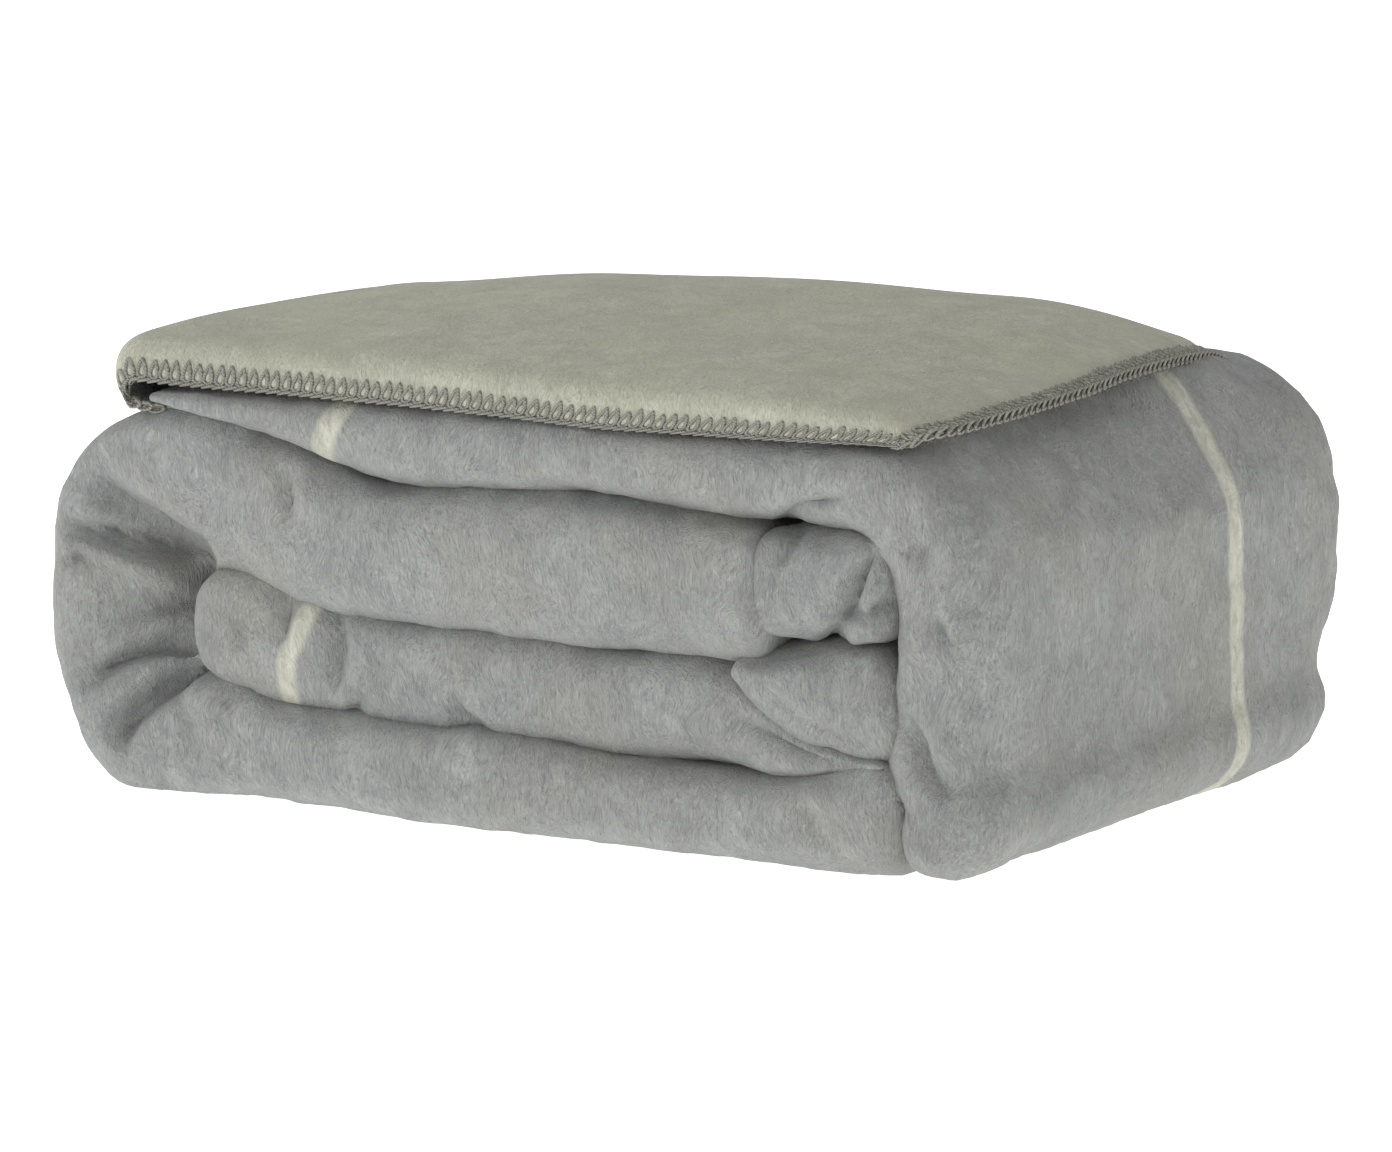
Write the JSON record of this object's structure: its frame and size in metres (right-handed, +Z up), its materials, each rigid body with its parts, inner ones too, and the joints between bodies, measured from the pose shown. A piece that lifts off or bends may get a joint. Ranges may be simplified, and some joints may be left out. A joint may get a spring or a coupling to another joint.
{
  "type": "folded throw blanket",
  "caption": "Plush throw blanket folded in plies and rolled flat into a bundle, its end turned back over the top as a flap with a stitched edge.",
  "frame": {"origin": "middle of the flat face that the bundle rests on", "axes": "+X along the front folds to the right, +Y into the depth, +Z up through the stack of folds"},
  "size_m": [0.46, 0.333, 0.201],
  "materials": {
    "grey_plush": "short streaky pile",
    "cream_plush": "short soft pile",
    "edge_yarn": "matt plied yarn"
  },
  "bodies": {
    "roll": {"bottom_run": "grey_plush", "left_turn": "grey_plush", "right_turn": "grey_plush", "core_run": "grey_plush", "upper_inner_run": "grey_plush", "core_end_fold_lower": "grey_plush", "core_end_fold_upper": "grey_plush"},
    "top_turn": {"top_run": "grey_plush", "flap_tuck": "cream_plush"},
    "flap": {"flap_face_cloth": "grey_plush", "flap_reverse_cloth": "cream_plush", "flap_edge_stitch_front": "edge_yarn", "flap_edge_stitch_back": "edge_yarn", "flap_edge_stitch_end": "edge_yarn"}
  },
  "joints": [
    {"name": "top_turn_open", "type": "hinge", "parent": "roll", "child": "top_turn", "pos_m": [0.205, 0, 0.172], "axis": [0, 1, 0], "range_deg": [0, 90]},
    {"name": "flap_open", "type": "hinge", "parent": "top_turn", "child": "flap", "pos_m": [-0.182, 0, 0.173], "axis": [0, -1, 0], "range_deg": [0, 138]}
  ]
}
